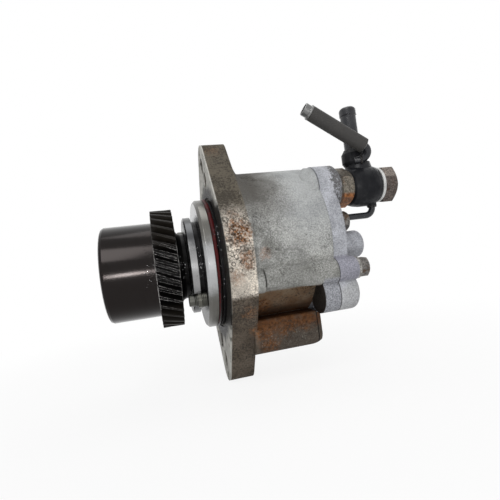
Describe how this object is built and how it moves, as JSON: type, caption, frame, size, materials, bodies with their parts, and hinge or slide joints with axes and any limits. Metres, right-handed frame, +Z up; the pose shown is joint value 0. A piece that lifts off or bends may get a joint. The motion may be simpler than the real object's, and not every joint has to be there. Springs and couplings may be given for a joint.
{
  "type": "hydraulic gear pump",
  "caption": "Flange-mounted hydraulic gear pump with a helical drive gear on its shaft, a round cast body, a bolted rear cover and a banjo inlet fitting with two pipes.",
  "frame": {"origin": "centre of the pilot on the flange's mounting face", "axes": "+X along the shaft from the drive end to the rear cover, +Z up the long axis of the flange, -Y towards the side with the inlet fitting"},
  "size_m": [0.2267, 0.128, 0.2029],
  "materials": {
    "front_body": "rough cast, dusty and speckled",
    "rear_cover": "cast, fine blasted",
    "cover_gasket": "thin fibre gasket",
    "bearing_carrier": "turned and ground",
    "pilot_oring": "dark red rubber",
    "bearing_outer_race": "ground",
    "bearing_balls": "polished",
    "bearing_cage": "pressed",
    "bearing_inner_race": "ground",
    "retainer_ring": "turned",
    "retainer_screws": "zinc plated",
    "shaft_seal": "lip seal",
    "drive_shaft": "ground",
    "helical_gear": "hardened and oily, dark",
    "gear_key": "bright",
    "lock_washer": "plain",
    "shaft_nut": "blackened",
    "pump_drive_gear": "ground",
    "pump_gear_key": "bright",
    "pump_driven_gear": "ground",
    "front_bush": "machined bronze",
    "rear_bush": "machined bronze",
    "locating_dowels": "ground",
    "cover_bolts": "dirty dark zinc",
    "bolt_washers": "plain",
    "inlet_adaptor": "yellow zinc, rusty",
    "inner_washer": "copper",
    "banjo_body": "black coating, oily",
    "outer_washer": "bright",
    "banjo_bolt": "browned",
    "suction_pipe": "black coating",
    "return_pipe": "bright zinc",
    "return_elbow": "black coating",
    "pipe_sleeve": "matte dark grey hose",
    "drain_pipe": "black coating",
    "valve_spool": "ground",
    "valve_spring": "spring steel",
    "valve_plug": "plated"
  },
  "bodies": {
    "housing": {"front_body": "front_body", "rear_cover": "rear_cover", "cover_gasket": "cover_gasket", "bearing_carrier": "bearing_carrier", "pilot_oring": "pilot_oring", "bearing_outer_race": "bearing_outer_race", "retainer_ring": "retainer_ring", "retainer_screws": "retainer_screws", "shaft_seal": "shaft_seal", "front_bush": "front_bush", "rear_bush": "rear_bush", "locating_dowels": "locating_dowels", "cover_bolts": "cover_bolts", "bolt_washers": "bolt_washers", "inlet_adaptor": "inlet_adaptor", "inner_washer": "inner_washer", "banjo_body": "banjo_body", "outer_washer": "outer_washer", "banjo_bolt": "banjo_bolt", "suction_pipe": "suction_pipe", "return_pipe": "return_pipe", "return_elbow": "return_elbow", "pipe_sleeve": "pipe_sleeve", "drain_pipe": "drain_pipe", "valve_spring": "valve_spring", "valve_plug": "valve_plug"},
    "shaft": {"drive_shaft": "drive_shaft", "helical_gear": "helical_gear", "gear_key": "gear_key", "lock_washer": "lock_washer", "shaft_nut": "shaft_nut", "pump_drive_gear": "pump_drive_gear", "pump_gear_key": "pump_gear_key", "bearing_inner_race": "bearing_inner_race"},
    "idler": {"pump_driven_gear": "pump_driven_gear"},
    "ball_cage": {"bearing_balls": "bearing_balls", "bearing_cage": "bearing_cage"},
    "spool": {"valve_spool": "valve_spool"}
  },
  "joints": [
    {"name": "shaft_spin", "type": "hinge", "parent": "housing", "child": "shaft", "pos_m": [0, 0, 0], "axis": [1, 0, 0], "continuous": true},
    {"name": "idler_spin", "type": "hinge", "parent": "housing", "child": "idler", "pos_m": [0.05, 0, 0.036], "axis": [1, 0, 0], "continuous": true},
    {"name": "cage_spin", "type": "hinge", "parent": "housing", "child": "ball_cage", "pos_m": [-0.0076, 0, 0], "axis": [1, 0, 0], "continuous": true},
    {"name": "spool_slide", "type": "slide", "parent": "housing", "child": "spool", "axis": [0, 0, -1], "range_m": [0, 0.004], "stiffness_N_per_m": 4000, "springref_m": -0.002, "deforming": ["valve_spring"]}
  ],
  "couplings": [
    {"joint": "idler_spin", "follows": "shaft_spin", "ratio": -1},
    {"joint": "cage_spin", "follows": "shaft_spin", "ratio": 0.3965}
  ]
}
